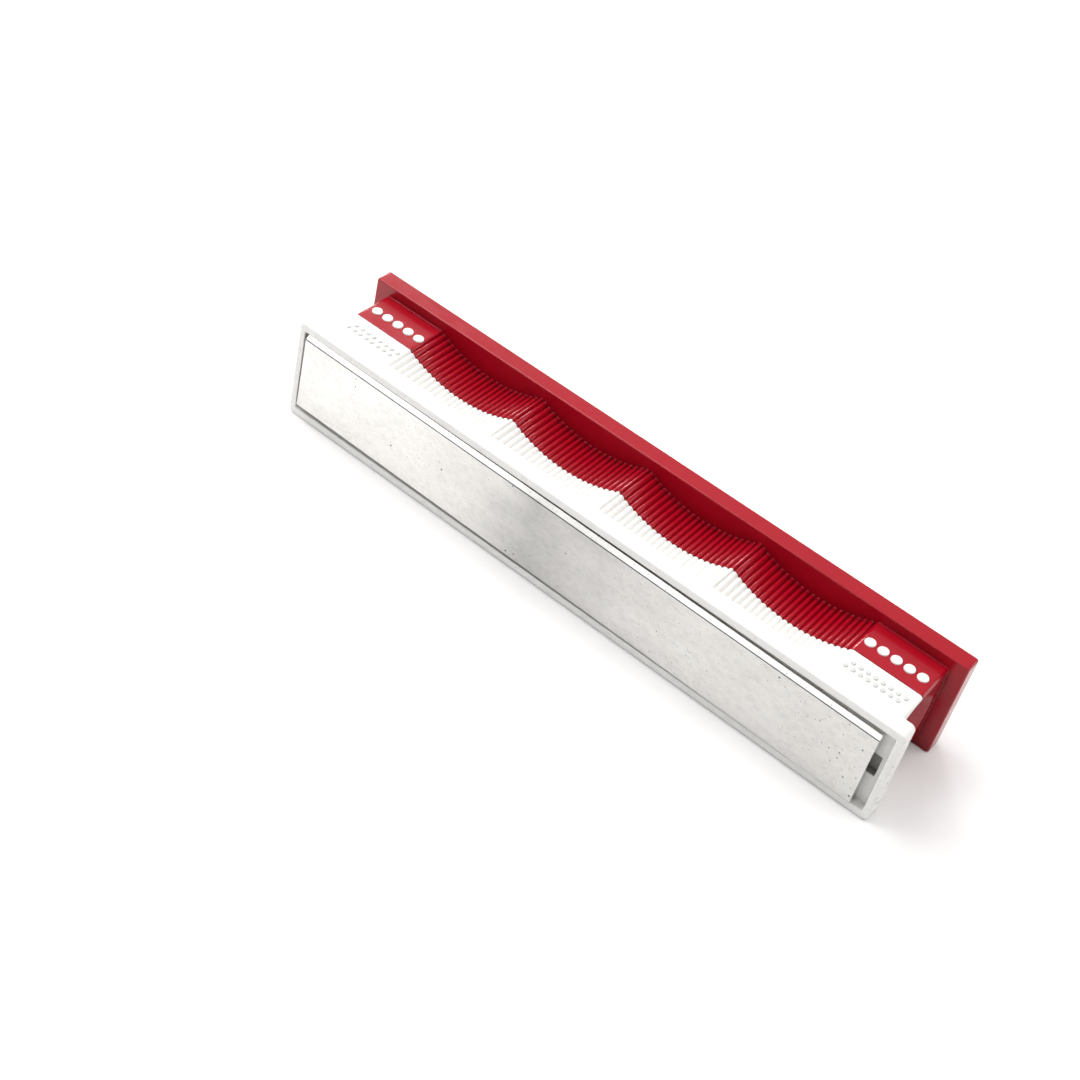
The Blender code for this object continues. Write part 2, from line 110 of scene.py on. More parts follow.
def mesh_object(name, shape):
    """Turn a bmesh into an object of the scene."""
    bmesh.ops.recalc_face_normals(shape, faces=shape.faces)
    mesh = bpy.data.meshes.new(name)
    shape.to_mesh(mesh)
    shape.free()
    obj = bpy.data.objects.new(name, mesh)
    bpy.context.scene.collection.objects.link(obj)
    return obj


def lofted_object(name, *bodies):
    """Each body is a list of closed loops of equal length, joined by quads and capped flat."""
    shape = bmesh.new()
    for loops in bodies:
        rows = [[shape.verts.new(point) for point in loop] for loop in loops]
        count = len(rows[0])
        for lower, upper in zip(rows, rows[1:]):
            for i in range(count):
                j = (i + 1) % count
                shape.faces.new((lower[i], lower[j], upper[j], upper[i]))
        shape.faces.new(rows[0][::-1])
        shape.faces.new(rows[-1])
    return mesh_object(name, shape)


def turned(matrix, profile, segments):
    """Loops of a body turned about local Z, from (radius, height) points."""
    angles = [2 * math.pi * step / segments for step in range(segments)]
    return [
        [matrix @ Vector((radius * math.cos(a), radius * math.sin(a), height)) for a in angles]
        for radius, height in profile
    ]


def quarter_turn(steps):
    """(fall, rise) along a quarter circle: fall runs from 1 to 0 while rise runs from 0 to 1."""
    angles = [step / steps * math.pi / 2 for step in range(steps + 1)]
    return [(1 - math.sin(angle), 1 - math.cos(angle)) for angle in angles]


def rounded_rectangle(half_x, half_z, radius, segments=8, along=24):
    """(x, z) round a rectangle; the sides along X are divided so that no face is very thin."""
    points = []
    corners = ((1, 1), (-1, 1), (-1, -1), (1, -1))
    for index, (sign_x, sign_z) in enumerate(corners):
        centre_x = sign_x * (half_x - radius)
        centre_z = sign_z * (half_z - radius)
        for step in range(segments + 1):
            angle = index * math.pi / 2 + step / segments * math.pi / 2
            points.append(
                (centre_x + radius * math.cos(angle), centre_z + radius * math.sin(angle))
            )
        if index in (0, 2):
            x, z = points[-1]
            run = -sign_x * (half_x - radius) - x
            points += [(x + run * step / along, z) for step in range(1, along)]
    return points


def level(points, distance, side, along=0.0):
    """A loop of (x, z) points at this distance from the joint plane, moved along X."""
    return [(MID_X + along + x, side * distance, MID_Z + z) for x, z in points]


def finish_surface(obj, sharp_angle):
    obj.data.shade_smooth()
    obj.data.set_sharp_from_angle(angle=math.radians(sharp_angle))
    weighted = obj.modifiers.new("even_shading", "WEIGHTED_NORMAL")
    weighted.keep_sharp = True
    weighted.weight = 80


def combine(target, tool, operation):
    """Apply a boolean to the target and remove the tool."""
    modifier = target.modifiers.new(operation, "BOOLEAN")
    modifier.operation = operation
    modifier.object = tool
    modifier.solver = "MANIFOLD"
    graph = bpy.context.evaluated_depsgraph_get()
    bpy.context.view_layer.update()
    result = bpy.data.meshes.new_from_object(target.evaluated_get(graph))
    target.modifiers.clear()
    old = target.data
    target.data = result
    bpy.data.meshes.remove(old)
    tool_mesh = tool.data
    bpy.data.objects.remove(tool, do_unlink=True)
    bpy.data.meshes.remove(tool_mesh)


# ---------------------------------------------------------------- mouldings


def flange_mesh(side):
    lip = 0.16 * MM
    foot = 0.25 * MM
    outline = (LENGTH / 2, HEIGHT / 2, CORNERS[side])
    recess = (LENGTH / 2 - END_RIM, HEIGHT / 2 - SIDE_RIM, RECESS_CORNER)

    def ring(sizes, grow, distance):
        return level(rounded_rectangle(*(size + grow for size in sizes)), distance, side)

    edge_turn, recess_turn = quarter_turn(5), quarter_turn(3)
    # Inner edge, outer edge, the recess's lip, then the foot of its wall
    loops = [ring(outline, -EDGE * fall, INNER + EDGE * rise) for fall, rise in edge_turn]
    loops += [ring(outline, -EDGE * rise, OUTER - EDGE * fall) for fall, rise in edge_turn]
    loops += [ring(recess, lip * fall, OUTER - lip * rise) for fall, rise in recess_turn]
    loops += [ring(recess, -foot * rise, FLOOR + foot * fall) for fall, rise in recess_turn]
    return lofted_object("flange_blank", loops)


def scallop(x):
    """Depth of the scallops' circular arcs at x from the middle."""
    if abs(x) >= REACH:
        return 0.0
    half = PITCH / 2
    radius = (half**2 + DEPTH**2) / (2 * DEPTH)
    from_centre = (x + REACH) % PITCH - half
    return math.sqrt(max(0.0, radius**2 - from_centre**2)) - (radius - DEPTH)


def groove(x):
    """Depth below the rounded crests; the first groove is just on the +X side of each cusp."""
    turn = (x + REACH) / RIB_PITCH - 0.25
    if turn < -0.5 or turn > SCALLOPS * RIBS - 0.5:
        return 0.0
    from_groove = abs(2 * (turn - round(turn)))
    return RIB_HEIGHT * (1 - from_groove) ** 2.0


def neck_loop():
    """[(x, z, normal x, normal z, groove)] round the neck; z is the crests' level."""
    steps_per_rib = 12
    spare_steps = 7  # fine steps beyond the scallops at each end
    spacing = RIB_PITCH / steps_per_rib
    ribbed = REACH + spare_steps * spacing
    land = NECK_HALF - NECK_CORNER
    plain = land - ribbed

    top = [(-land + plain * step / 6, NECK_Z, 0.0) for step in range(6)]
    for step in range(SCALLOPS * RIBS * steps_per_rib + 2 * spare_steps + 1):
        x = -ribbed + step * spacing
        top.append((x, NECK_Z - scallop(x) * (DEPTH - RIB_HEIGHT) / DEPTH, groove(x)))
    top += [(ribbed + plain * step / 6, NECK_Z, 0.0) for step in range(1, 7)]

    corner = []
    for step in range(1, 7):
        angle = math.pi / 2 * (1 - step / 7)
        z = NECK_Z - NECK_CORNER * (1 - math.sin(angle))
        corner.append((land + NECK_CORNER * math.cos(angle), z, 0.0))
    end_z = NECK_Z - NECK_CORNER
    end = [(NECK_HALF, end_z - 2 * end_z * step / 12, 0.0) for step in range(13)]
    right = corner + end + [(x, -z, depth) for x, z, depth in reversed(corner)]
    bottom = [(x, -z, depth) for x, z, depth in reversed(top)]
    left = [(-x, z, depth) for x, z, depth in reversed(right)]
    loop = top + right + bottom + left

    points = np.array([(x, z) for x, z, _ in loop])
    along = np.roll(points, -1, axis=0) - np.roll(points, 1, axis=0)
    normals = np.stack([-along[:, 1], along[:, 0]], axis=1)
    normals /= np.linalg.norm(normals, axis=1)[:, None]
    return [
        (x, z, normal[0], normal[1], depth) for (x, z, depth), normal in zip(loop, normals)
    ]


def neck_mesh(side):
    soft = 0.16 * MM  # rounding at the joint line
    root = 0.12 * MM  # fillet against the flange
    # (distance from the joint plane, offset outwards along the outline's normals)
    levels = [(JOINT + soft * rise, -soft * fall) for fall, rise in quarter_turn(3)]
    straight = INNER - root - JOINT - soft
    levels += [(JOINT + soft + straight * share, 0.0) for share in (0.25, 0.5, 0.75)]
    levels += [(INNER - root * fall, root * rise) for fall, rise in quarter_turn(5)[:-1]]
    levels += [(INNER - 0.006 * MM, root), (INNER + 0.5 * MM, root)]
    outline = neck_loop()
    loops = [
        [
            (
                MID_X + x + normal_x * offset,
                side * distance,
                MID_Z + z + normal_z * offset - math.copysign(depth, z),
            )
            for x, z, normal_x, normal_z, depth in outline
        ]
        for distance, offset in levels
    ]
    return lofted_object("neck_blank", loops)


def cavity_mesh(side):
    end = NECK_HALF - END_BLOCK
    across = [-end + 2 * end * step / 120 for step in range(121)]
    top = [(x, NECK_Z - WALL - scallop(x)) for x in across]
    outline = top + [(x, -z) for x, z in reversed(top)]
    loops = [level(outline, -1.0 * MM, side), level(outline, INNER + 0.1 * MM, side)]
    return lofted_object("cavity_blank", loops)


def magnets_on(side):
    return [name for name in MAGNETS if sum(corner.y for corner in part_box(name)) * side >= 0]


def seat(name, side):
    """A round part's (matrix, radius); local Z runs outwards from the joint plane at its axis."""
    low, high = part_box(name)
    place = Matrix.Translation(((low.x + high.x) / 2, 0.0, (low.z + high.z) / 2))
    return place @ Matrix.Rotation(-side * math.pi / 2, 4, "X"), (high.x - low.x) / 2


def boss_mesh(side):
    """The material left in the cavity round screws and behind magnets."""
    bodies = []
    for names, radius, start in (
        (SCREWS, 3.7 * MM, -1.5 * MM),
        (magnets_on(side), 4.4 * MM, FLOOR - 3.6 * MM),
    ):
        profile = [(radius, start), (radius, INNER + 1.0 * MM)]
        bodies += [turned(seat(name, side)[0], profile, segments=40) for name in names]
    return lofted_object("boss_blank", *bodies)


def dish_cutter():
    """Both ends' coned bores, with a soft lip where the cone meets the end face and the bore."""
    lip, throat = 0.5 * MM, 0.35 * MM  # rounding radii
    swing = math.pi / 4
    lip_reach = lip * math.tan(swing / 2)
    throat_start = NECK_HALF - (DISH - BORE) - throat * math.tan(swing / 2)
    mouth = DISH + lip_reach
    profile = [(BORE, NECK_HALF - END_BLOCK - 1.0 * MM)]
    for step in range(5):
        angle = swing * step / 4
        profile.append(
            (BORE + throat * (1 - math.cos(angle)), throat_start + throat * math.sin(angle))
        )
    for step in range(5):
        angle = swing * (1 - step / 5)
        profile.append((mouth - lip * math.sin(angle), NECK_HALF - lip * (1 - math.cos(angle))))
    profile += [(mouth, NECK_HALF - 0.002 * MM), (mouth + 0.02 * MM, NECK_HALF + 0.9 * MM)]
    middle = Matrix.Translation((MID_X, 0.0, MID_Z))
    bodies = [
        turned(middle @ Matrix.Rotation(end * math.pi / 2, 4, "Y"), profile, segments=96)
        for end in (-1, 1)
    ]
    return lofted_object("dish_blank", *bodies)


def pocket_cutter(side):
    """Magnet pockets, lifting slots and screw holes, counterbored on the coarse side."""
    mouth = FLOOR + 0.02 * MM
    clear = FLOOR + 0.6 * MM
    bodies = []
    for name in magnets_on(side):
        matrix, magnet_radius = seat(name, side)
        radius = magnet_radius + 0.15 * MM
        flared = radius + 0.14 * MM
        bottom = min(abs(corner.y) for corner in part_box(name)) - 0.1 * MM
        profile = [(radius, bottom), (radius, FLOOR - 0.12 * MM), (flared, mouth), (flared, clear)]
        bodies.append(turned(matrix, profile, segments=48))

    slot_levels = (  # (distance from the joint plane, growth of the outline)
        (FLOOR - 1.4 * MM, 0.0),
        (FLOOR - 0.1 * MM, 0.0),
        (mouth, 0.1 * MM),
        (FLOOR + 0.5 * MM, 0.1 * MM),
    )
    for end in (-1, 1):
        loops = []
        for distance, grow in slot_levels:
            outline = rounded_rectangle(
                SLOT_HALF_X + grow, SLOT_HALF_Z + grow, 0.25 * MM + grow, segments=4, along=2
            )
            loops.append(level(outline, distance, side, along=end * SLOT_X))
        bodies.append(loops)

    for name in SCREWS:
        matrix, head = seat(name, side)
        profile = [(SCREW_HOLE, -1.0 * MM)]
        if side > 0:
            shelf = FLOOR - 2.1 * MM
            bore, flared = head + 0.3 * MM, head + 0.4 * MM
            profile += [(SCREW_HOLE, shelf), (bore, shelf), (bore, FLOOR - 0.1 * MM)]
            profile += [(flared, mouth), (flared, clear)]
        else:
            profile.append((SCREW_HOLE, FLOOR - 2.0 * MM))
        bodies.append(turned(matrix, profile, segments=48 if side > 0 else 32))
    return lofted_object("pocket_blank", *bodies)


def moulding(name, side):
    body = flange_mesh(side)
    neck = neck_mesh(side)
    cavity = cavity_mesh(side)
    combine(cavity, boss_mesh(side), "DIFFERENCE")
    combine(neck, cavity, "DIFFERENCE")
    combine(neck, dish_cutter(), "DIFFERENCE")
    combine(body, neck, "UNION")
    combine(body, pocket_cutter(side), "DIFFERENCE")
    body.name = name
    body.data.name = name
    finish_surface(body, sharp_angle=38)
    return body


# ---------------------------------------------------------------- plates and marks


def plate_long_edge(flat, thickness):
    """(z, y) from the plate's side to its face: a tight rounding, a flat, a broader rounding."""
    half = PLATE_WIDTH / 2
    chamfer = 0.12 * MM
    tight, broad = 0.25 * MM, 0.65 * MM  # rounding radii
    flat_angle = 48
    tight_turn, broad_turn = (90 - flat_angle) / 4, flat_angle / 8
    # (angle from the face in degrees, length) of each short run
    runs = [(90 - tight_turn * step, tight * math.radians(tight_turn)) for step in range(1, 5)]
    runs += [(flat_angle, flat / 3)] * 3
    runs += [
        (flat_angle - broad_turn * (step + 0.5), broad * math.radians(broad_turn))
        for step in range(8)
    ]
    z, y = -half, -sum(run * math.sin(math.radians(angle)) for angle, run in runs)
    points = [(-half + chamfer, -thickness), (-half, -thickness + chamfer), (z, y)]
    for angle, run in runs:
        z += run * math.cos(math.radians(angle))
        y = min(0.0, y + run * math.sin(math.radians(angle)))
        points.append((z, y))
    return points


def plate_mesh(name, side, node, length, skew=0.0):
    """A steel bar with its outer long edges rounded and its ends dressed."""
    low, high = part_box(node)
    centre = (low + high) / 2
    thickness = high.y - low.y
    half = PLATE_WIDTH / 2
    burr = 0.1 * MM

    lower = plate_long_edge(0.50 * MM, thickness)
    upper = [(-z, y) for z, y in reversed(plate_long_edge(0.92 * MM, thickness))]
    start, end = lower[-1][0], upper[0][0]
    face = [(start + (end - start) * step / 12, 0.0) for step in range(1, 12)]
    section = lower + face + upper

    dressed = [  # (x, inset of the section) at the -X end
        (-length / 2, burr),
        (-length / 2 + 0.3 * burr, 0.3 * burr),
        (-length / 2 + burr, 0.0),
    ]
    stations = dressed + [(-length / 2 + length * step / 40, 0.0) for step in range(1, 40)]
    stations += [(-x, inset) for x, inset in reversed(dressed)]

    def inset_point(x, y, z, inset):
        y = min(-inset, y) if y > -thickness / 2 else max(y, -thickness + inset)
        return Vector((x, side * y, max(-half + inset, min(half - inset, z))))

    place = Matrix.Translation((centre.x, side * max(abs(low.y), abs(high.y)), centre.z))
    turn = place @ Matrix.Rotation(skew, 4, "Y")
    loops = [[turn @ inset_point(x, y, z, inset) for z, y in section] for x, inset in stations]
    obj = lofted_object(name, loops)
    finish_surface(obj, sharp_angle=50)
    return obj


def fine_plate_pose():
    """(length, skew): the plate lies askew, so its box is larger than the plate itself."""
    low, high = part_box("fine_plate")
    size = high - low
    skew, length = 0.0, size.x
    for _ in range(20):
        skew = math.asin((size.z - PLATE_WIDTH * math.cos(skew)) / length)
        length = (size.x - PLATE_WIDTH * math.sin(skew)) / math.cos(skew)
    return length, skew


def mark_mesh(name, places, radius):
    """Low round buttons on top of the neck, with a soft shoulder and a faintly domed top."""
    shoulder = min(0.14 * MM, MARK_HEIGHT * 0.5)
    profile = [(radius * 1.02, -0.12 * MM), (radius, 0.0)]
    profile += [
        (radius * 0.97 - shoulder * rise, MARK_HEIGHT - shoulder * fall)
        for fall, rise in quarter_turn(4)
    ]
    profile += [(radius * 0.4, MARK_HEIGHT + 0.02 * MM), (radius * 0.1, MARK_HEIGHT + 0.025 * MM)]
    top = MID_Z + NECK_Z
    bodies = [turned(Matrix.Translation((x, y, top)), profile, segments=32) for x, y in places]
    obj = lofted_object(name, *bodies)
    finish_surface(obj, sharp_angle=50)
    return obj


# ---------------------------------------------------------------- node helpers


class Nodes:
    """Short names for building a node tree. Values may be sockets, numbers or tuples."""

    def __init__(self, tree):
        self.tree = tree

    def new(self, kind, **settings):
        node = self.tree.nodes.new(kind)
        for key, value in settings.items():
            setattr(node, key, value)
        return node

    def link(self, source, target):
        if isinstance(source, bpy.types.NodeSocket):
            self.tree.links.new(source, target)
        else:
            target.default_value = source

    def split(self, vector):
        node = self.new("ShaderNodeSeparateXYZ")
        self.link(vector, node.inputs["Vector"])
        return node.outputs

    def ramp(self, value, stops):
        """Stops are (position, grey) or (position, (red, green, blue))."""
        node = self.new("ShaderNodeValToRGB")
        self.link(value, node.inputs["Fac"])
        elements = node.color_ramp.elements
        while len(elements) < len(stops):
            elements.new(0.5)
        for element, (position, color) in zip(elements, stops):
            element.position = position
            element.color = (*(color if isinstance(color, tuple) else (color,) * 3), 1.0)
        return node.outputs["Color"]

    def span(self, value, over, to=(0.0, 1.0)):
        """Map one range on to another, clamped."""
        node = self.new("ShaderNodeMapRange")
        self.link(value, node.inputs["Value"])
        for key, number in zip(("From Min", "From Max", "To Min", "To Max"), (*over, *to)):
            self.link(number, node.inputs[key])
        return node.outputs["Result"]

    def mix(self, factor, first, second, blend="MIX"):
        node = self.new("ShaderNodeMix", data_type="RGBA", blend_type=blend)
        for index, value in ((0, factor), (6, first), (7, second)):
            self.link(value, node.inputs[index])
        return node.outputs[2]


class MaterialNodes(Nodes):
    """A new material's nodes; `place` is the object's own space, where textures lie."""

    def __init__(self, name):
        self.material = bpy.data.materials.new(name)
        self.material.use_nodes = True
        super().__init__(self.material.node_tree)
        self.shader = self.tree.nodes["Principled BSDF"]
        self.place = self.new("ShaderNodeTexCoord").outputs["Object"]
        self.texture_place = self.place

    def mapped(self, **settings):
        node = self.new("ShaderNodeMapping")
        self.link(self.texture_place, node.inputs["Vector"])
        for key, value in settings.items():
            node.inputs[key].default_value = value
        return node.outputs["Vector"]

    def noise(self, scale=1.0, detail=3.0, roughness=0.5, distortion=0.0, stretch=None):
        """Noise at one scale, or at a stretch of its own along each axis."""
        vector = self.mapped(Scale=stretch) if stretch else self.texture_place
        node = self.new("ShaderNodeTexNoise")
        self.link(vector, node.inputs["Vector"])
        node.inputs["Scale"].default_value = scale
        node.inputs["Detail"].default_value = detail
        node.inputs["Roughness"].default_value = roughness
        node.inputs["Distortion"].default_value = distortion
        return node.outputs["Fac"]

    def math(self, operation, first, second=0.0):
        node = self.new("ShaderNodeMath", operation=operation)
        self.link(first, node.inputs[0])
        self.link(second, node.inputs[1])
        return node.outputs["Value"]

    def times(self, first, second):
        return self.math("MULTIPLY", first, second)

    def plus(self, first, second):
        return self.math("ADD", first, second)

    def openness(self, radius, **settings):
        """1 in the open, towards 0 deep in a corner or a slot."""
        node = self.new("ShaderNodeAmbientOcclusion", samples=6, **settings)
        node.inputs["Distance"].default_value = radius
        return node.outputs["AO"]

    def edges(self, radius):
        """1 on a convex edge, 0 on a broad face or in a hollow."""
        inside = self.openness(radius, inside=True, only_local=True)
        return self.span(inside, over=(0.92, 0.55))

    def bump(self, height, distance, strength, normal=None):
        node = self.new("ShaderNodeBump")
        self.link(height, node.inputs["Height"])
        node.inputs["Distance"].default_value = distance
        node.inputs["Strength"].default_value = strength
        if normal is not None:
            self.link(normal, node.inputs["Normal"])
        return node.outputs["Normal"]

    def set(self, **inputs):
        for key, value in inputs.items():
            self.link(value, self.shader.inputs[key.replace("_", " ")])
        return self.material


def rgb(*display):
    """Display colour, 0 to 255, as linear."""
    shares = [value / 255 for value in display]
    linear = [v / 12.92 if v <= 0.04045 else ((v + 0.055) / 1.055) ** 2.4 for v in shares]
    return (*linear, 1.0)


# ---------------------------------------------------------------- materials


def lifting_slot_shade(nodes):
    """A mask of painted shade on the walls and the bottom of the two lifting slots."""
    place = nodes.split(nodes.place)
    margin = 0.12 * MM

    def within(value, centre, reach):
        away = nodes.math("ABSOLUTE", nodes.math("SUBTRACT", value, centre))
        return nodes.math("LESS_THAN", away, reach)

    along = nodes.math("ABSOLUTE", nodes.math("SUBTRACT", place["X"], MID_X))
    mask = within(along, centre=SLOT_X, reach=SLOT_HALF_X + margin)
    mask = nodes.times(mask, within(place["Z"], centre=MID_Z, reach=SLOT_HALF_Z + margin))
    out = nodes.math("ABSOLUTE", place["Y"])
    mask = nodes.times(mask, within(out, centre=FLOOR - 0.76 * MM, reach=0.70 * MM))
    amount = 0.55
    return nodes.times(mask, amount)


def plastic(
    name, base, darker, worn, shade_and_dust_tone, painted_shade_tone, roughness, cloud_stretch, edge_wear, shade,
    subsurface=0.0,
):
    """Moulded plastic; cloud_stretch is the clouds' scale along X, shade the strength of the
    painted shade in wide hollows.
    """
    nodes = MaterialNodes(name)
    mix, span, noise, times = nodes.mix, nodes.span, nodes.noise, nodes.times

    # Clouds, flow lines along the tool and specks
    clouds = noise(stretch=(cloud_stretch, 60, 60), detail=4.0, roughness=0.55)
    color = mix(span(clouds, over=(0.3, 0.7)), base, darker)
    flow = noise(stretch=(9, 170, 170), distortion=0.8)
    color = mix(span(flow, over=(0.5, 0.75), to=(0.0, 0.35)), color, darker)
    speck = noise(scale=4200, detail=2.0, roughness=0.6)
    color = mix(span(speck, over=(0.66, 0.8), to=(0.0, 0.16)), color, worn)

    # Scuffs in patches, and worn edges
    scuff_line = noise(stretch=(700, 9000, 9000), roughness=0.7)
    scuff_zone = noise(scale=120, detail=2.0)
    scuff = times(span(scuff_line, over=(0.68, 0.76)), span(scuff_zone, over=(0.52, 0.62)))
    wear_patches = noise(scale=700, detail=4.0, roughness=0.7)
    wear = times(nodes.edges(radius=0.3 * MM), span(wear_patches, over=(0.44, 0.62)))
    color = mix(times(wear, edge_wear), color, worn)
    color = mix(times(scuff, edge_wear * 0.4), color, worn)

    # Painted shade near corners (partly settled dirt), in wide hollows, and darkest deep in
    # corners and in the slots
    near = nodes.openness(radius=2.2 * MM)
    shade_and_dust_patches = span(noise(scale=420, roughness=0.6), over=(0.3, 0.7), to=(0.4, 1.0))
    corner_shade_and_dust = times(span(near, over=(0.78, 0.30)), shade_and_dust_patches)
    color = mix(times(corner_shade_and_dust, 0.28), color, shade_and_dust_tone)
    # Painted shade in wide hollows, as between the flanges
    wide = 0.0
    if shade:
        wide = span(nodes.openness(radius=6.5 * MM), over=(0.68, 0.35), to=(0.0, shade))
        color = mix(wide, color, painted_shade_tone)
    # Painted shade deep in corners and in the lifting slots
    corners = times(span(near, over=(0.26, 0.10)), 0.75)
    deep = nodes.math("MAXIMUM", corners, lifting_slot_shade(nodes))
    color = mix(deep, color, painted_shade_tone)

    rough = span(
        noise(scale=260, detail=4.0, roughness=0.6),
        over=(0.25, 0.75), to=(roughness - 0.05, roughness + 0.08),
    )
    for mask, amount in ((scuff, edge_wear / 2), (wear, edge_wear / 3), (corner_shade_and_dust, 0.15)):
        rough = nodes.plus(rough, times(mask, amount))

    grain = noise(scale=3600, roughness=0.6)
    ripple = noise(scale=90, detail=2.0)
    normal = nodes.bump(grain, distance=0.005 * MM, strength=0.5)
    normal = nodes.bump(ripple, distance=0.02 * MM, strength=0.2, normal=normal)
    scuff_strength = min(0.5, edge_wear * 1.7)
    normal = nodes.bump(scuff, distance=-0.005 * MM, strength=scuff_strength, normal=normal)

    # The painted shade also takes the gloss away, down to a floor
    gloss = nodes.math(
        "SUBTRACT", span(deep, over=(0.0, 1.0), to=(0.5, 0.12)), times(wide, 0.55)
    )
    gloss = nodes.math("MAXIMUM", gloss, 0.08)
    nodes.set(
        Base_Color=color, Roughness=rough, Normal=normal, IOR=1.53, Specular_IOR_Level=gloss
    )
    if subsurface:
        nodes.set(
            Subsurface_Weight=subsurface, Subsurface_Scale=0.6 * MM,
            Subsurface_Radius=(1.0, 0.9, 0.8),
        )
    return nodes.material


# (share of the length from -X to +X, tone): stands for the reflection of a second tool
PLATE_TONES = (
    (0.0, 0.90), (0.25, 0.92), (0.36, 0.80), (0.46, 0.52),
    (0.52, 0.60), (0.60, 0.71), (0.70, 0.78), (1.0, 0.74),
)


def brushed_steel(name, light, dark, seed, pits, roughness):
    """Steel brushed along X, with pits and scratches; the seed shifts the textures."""
    nodes = MaterialNodes(name)
    mix, span, noise, times = nodes.mix, nodes.span, nodes.noise, nodes.times
    nodes.texture_place = nodes.mapped(Location=(seed * 0.37, seed * 0.11, seed * 0.23))

    # Brushing and mottling
    fine_lines = noise(stretch=(60, 9000, 9000), detail=4.0, roughness=0.65)
    broad_lines = noise(stretch=(16, 1500, 1500), roughness=0.55)
    mottle = noise(stretch=(260, 420, 420), detail=5.0, roughness=0.62, distortion=0.6)
    clouds = noise(stretch=(38, 90, 90))
    tone = nodes.plus(times(mottle, 0.5), times(clouds, 0.5))
    color = mix(span(tone, over=(0.34, 0.66)), dark, light)
    speckle = noise(stretch=(700, 1200, 1200), detail=4.0, roughness=0.7)
    color = mix(span(speckle, over=(0.46, 0.68), to=(0.0, 0.32)), color, rgb(200, 198, 195))
    color = mix(span(fine_lines, over=(0.54, 0.74), to=(0.0, 0.22)), color, dark)
    color = mix(span(broad_lines, over=(0.55, 0.74), to=(0.0, 0.20)), color, dark)

    # Painted reflection along the plate, its bounds made uneven by the clouds
    uneven = times(nodes.math("SUBTRACT", clouds, 0.5), 0.03)
    along = nodes.plus(nodes.split(nodes.place)["X"], uneven)
    along = span(along, over=(-LENGTH / 2, LENGTH / 2))
    color = mix(1.0, color, nodes.ramp(along, PLATE_TONES), blend="MULTIPLY")

    def spots(scale, share, inner, outer):
        """Round spots in this share of the cells, fading from the inner to the outer radius."""
        cell = nodes.new("ShaderNodeTexVoronoi", feature="F1")
        nodes.link(nodes.texture_place, cell.inputs["Vector"])
        cell.inputs["Scale"].default_value = scale
        chance = nodes.new("ShaderNodeSeparateColor")
        nodes.link(cell.outputs["Color"], chance.inputs["Color"])
        few = span(chance.outputs["Red"], over=(1 - share, 1 - share + 0.01))
        return times(span(cell.outputs["Distance"], over=(inner, outer), to=(1.0, 0.0)), few)

    # Large pits all over, small ones in patches and more towards the +X end
    zone = span(noise(stretch=(60, 110, 110), detail=2.0), over=(0.48, 0.60))
    big = spots(scale=560, share=0.07, inner=0.09, outer=0.15)
    small = times(spots(scale=1900, share=0.15, inner=0.16, outer=0.25), zone)
    at_end = spots(scale=900, share=0.20, inner=0.12, outer=0.24)
    at_end = times(at_end, span(along, over=(0.80, 0.97)))
    pit = nodes.math("MAXIMUM", nodes.math("MAXIMUM", big, times(small, 0.7)), at_end)
    pit = times(pit, pits)

    scratch = noise(stretch=(160, 5000, 900), detail=2.0, roughness=0.7)
    scratch_zone = noise(stretch=(120, 120, 120), detail=2.0)
    scratch = times(span(scratch, over=(0.71, 0.76)), span(scratch_zone, over=(0.5, 0.6)))
    color = mix(times(pit, 0.85), color, rgb(62, 60, 58))
    color = mix(times(scratch, 0.25), color, rgb(120, 119, 117))

    # The broad face is rougher than the edges and the ends, and alone is brushed
    rough = span(mottle, over=(0.3, 0.7), to=(roughness - 0.04, roughness + 0.07))
    rough = nodes.plus(rough, times(pit, 0.3))
    rough = nodes.plus(rough, span(fine_lines, over=(0.4, 0.7), to=(-0.03, 0.04)))
    facing = nodes.split(nodes.new("ShaderNodeNewGeometry").outputs["Normal"])
    broad_face = span(nodes.math("ABSOLUTE", facing["Y"]), over=(0.93, 0.995))
    rough = times(rough, span(broad_face, over=(0.0, 1.0), to=(0.55, 1.0)))
    normal = nodes.bump(times(fine_lines, broad_face), distance=0.0025 * MM, strength=0.5)
    normal = nodes.bump(
        times(mottle, broad_face), distance=0.006 * MM, strength=0.3, normal=normal
    )
    normal = nodes.bump(pit, distance=-0.02 * MM, strength=0.6, normal=normal)
    tangent = nodes.new("ShaderNodeTangent", direction_type="RADIAL", axis="Y")
    return nodes.set(
        Base_Color=color, Roughness=rough, Metallic=1.0, Normal=normal, Anisotropic=0.35,
        Tangent=tangent.outputs["Tangent"],
    )


def plated(name, light, dark, roughness):
    """Plated metal with haze, smears and brighter edges."""
    nodes = MaterialNodes(name)
    haze = nodes.noise(scale=900, detail=4.0, roughness=0.6)
    color = nodes.mix(nodes.span(haze, over=(0.35, 0.65)), light, dark)
    smear = nodes.noise(stretch=(500, 500, 2600), roughness=0.6)
    smeared = nodes.span(smear, over=(0.6, 0.75), to=(0.0, 0.4))
    color = nodes.mix(smeared, color, rgb(96, 92, 86))
    color = nodes.mix(nodes.times(nodes.edges(radius=0.15 * MM), 0.4), color, rgb(232, 230, 226))
    rough = nodes.span(haze, over=(0.3, 0.7), to=(roughness - 0.05, roughness + 0.12))
    grain = nodes.noise(scale=7000, roughness=0.6)
    normal = nodes.bump(grain, distance=0.006 * MM, strength=0.5)
    normal = nodes.bump(smear, distance=0.01 * MM, strength=0.4, normal=normal)
    return nodes.set(Base_Color=color, Roughness=rough, Metallic=1.0, Normal=normal)


